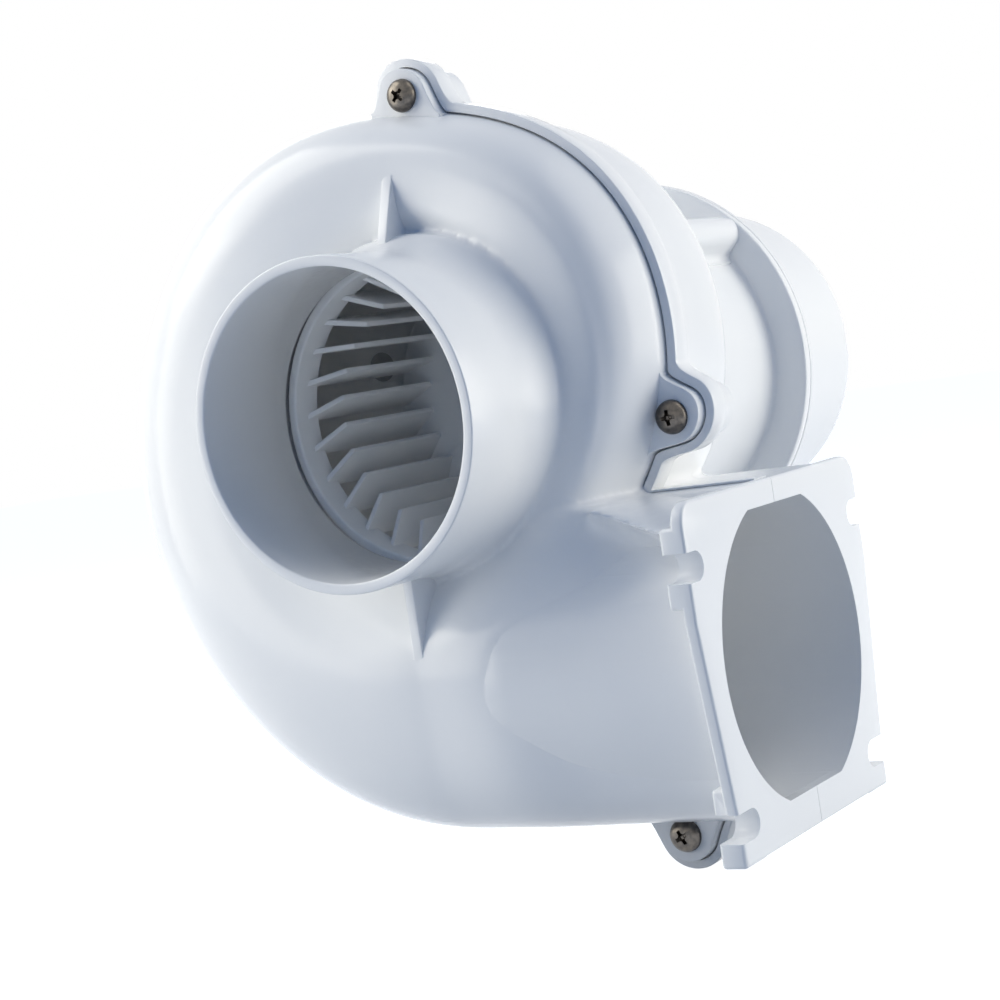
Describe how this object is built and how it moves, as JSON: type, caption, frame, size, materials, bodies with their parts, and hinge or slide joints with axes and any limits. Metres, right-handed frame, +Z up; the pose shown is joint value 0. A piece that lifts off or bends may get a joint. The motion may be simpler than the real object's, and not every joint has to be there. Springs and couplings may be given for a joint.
{
  "type": "centrifugal air blower",
  "caption": "Centrifugal air blower: scroll casing in two halves with a hose collar, a slotted outlet flange, a bladed fan wheel and a motor in a drum behind it.",
  "frame": {"origin": "centre of the inlet collar's rim, on the fan's axis", "axes": "+Y along the fan's axis into the blower, +X out of the outlet flange, +Z up"},
  "size_m": [0.173, 0.2005, 0.1998],
  "materials": {
    "casing": "gloss moulded",
    "fan": "satin moulded",
    "steel": "machined",
    "brass": "turned",
    "copper": "copper",
    "laminations": "stamped",
    "ferrite": "sintered",
    "carbon": "pressed carbon",
    "phenolic": "laminate",
    "rubber": "moulded"
  },
  "bodies": {
    "casing": {"front_casing": "casing", "rear_casing": "casing", "casing_screws": "steel", "casing_inserts": "brass", "motor_housing": "casing", "housing_screws": "steel", "motor_cover": "casing", "cover_screws": "steel", "cover_inserts": "brass", "cable_grommet": "rubber", "motor_can": "steel", "motor_front_plate": "steel", "motor_rear_plate": "steel", "motor_screws": "steel", "motor_tie_bolts": "steel", "front_bearing": "brass", "rear_bearing": "brass", "field_magnets": "ferrite", "brush_plate": "phenolic", "brush_holders": "brass", "carbon_brushes": "carbon", "brush_springs": "steel"},
    "rotor": {"motor_shaft": "steel", "impeller": "fan", "hub_insert": "brass", "hub_washer": "steel", "hub_nut": "steel", "armature_core": "laminations", "armature_windings": "copper", "commutator": "copper", "thrust_washers": "brass"}
  },
  "joints": [
    {"name": "impeller_spin", "type": "hinge", "parent": "casing", "child": "rotor", "pos_m": [0, 0.09, 0], "axis": [0, 1, 0], "continuous": true}
  ]
}
